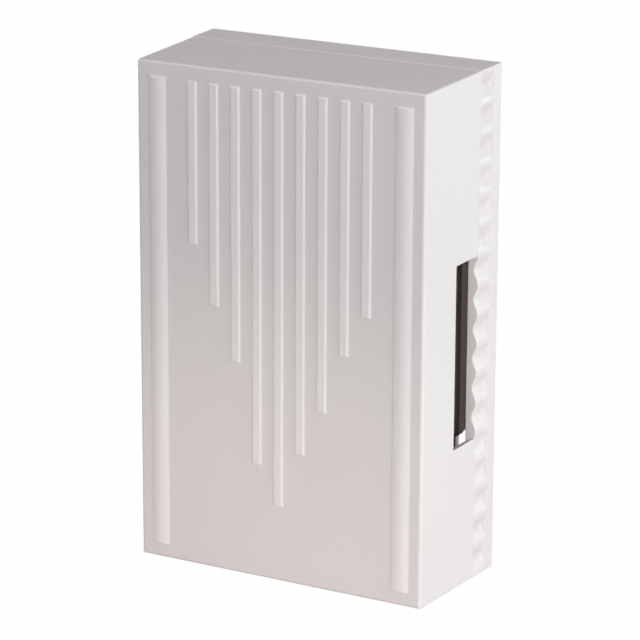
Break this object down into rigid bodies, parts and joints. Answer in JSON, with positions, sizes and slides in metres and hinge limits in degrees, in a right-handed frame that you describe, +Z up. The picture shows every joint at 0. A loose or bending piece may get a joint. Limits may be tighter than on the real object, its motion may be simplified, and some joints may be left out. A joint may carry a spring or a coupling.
{
  "type": "doorbell chime box",
  "caption": "White wall-mounted two-tone doorbell chime box with a ribbed clip-on cover, fluted base, side sound slots, tone bars, solenoid plunger and wiring terminal.",
  "frame": {"origin": "middle of the flat rear face that lies on the wall", "axes": "+X to the right seen from the room, +Y into the wall, +Z up; the ribbed front faces -Y"},
  "size_m": [0.082, 0.0386, 0.131],
  "materials": {
    "case_plastic": "satin moulded ABS",
    "dark_steel": "oil-blackened",
    "zinc_steel": "zinc plated",
    "nylon": "natural",
    "grommet_rubber": "matt",
    "copper_wire": "enamelled",
    "brass": "drawn",
    "tape": "satin",
    "lead_sleeve": "satin"
  },
  "bodies": {
    "base": {"rear_base": "case_plastic", "high_tone_bar": "dark_steel", "low_tone_bar": "dark_steel", "bar_grommets": "grommet_rubber", "grommet_clips": "zinc_steel", "coil_bobbin": "nylon", "coil_winding": "copper_wire", "coil_tape": "tape", "solenoid_yoke": "zinc_steel", "yoke_screws": "zinc_steel", "guide_tube": "brass", "return_spring": "zinc_steel", "spring_washer": "nylon", "terminal_block": "nylon", "terminal_clamps": "brass", "terminal_screws": "zinc_steel", "terminal_block_screw": "zinc_steel", "coil_lead_left": "lead_sleeve", "coil_lead_right": "lead_sleeve"},
    "plunger": {"plunger_core": "zinc_steel", "low_striker": "nylon", "high_striker": "nylon"},
    "cover": {"front_cover": "case_plastic"}
  },
  "joints": [
    {"name": "plunger_slide", "type": "slide", "parent": "base", "child": "plunger", "axis": [1, 0, 0], "range_m": [-0.0023, 0.0058], "stiffness_N_per_m": 60, "deforming": ["return_spring"]},
    {"name": "cover_pull", "type": "slide", "parent": "base", "child": "cover", "axis": [0, -1, 0], "range_m": [0, 0.06]}
  ]
}
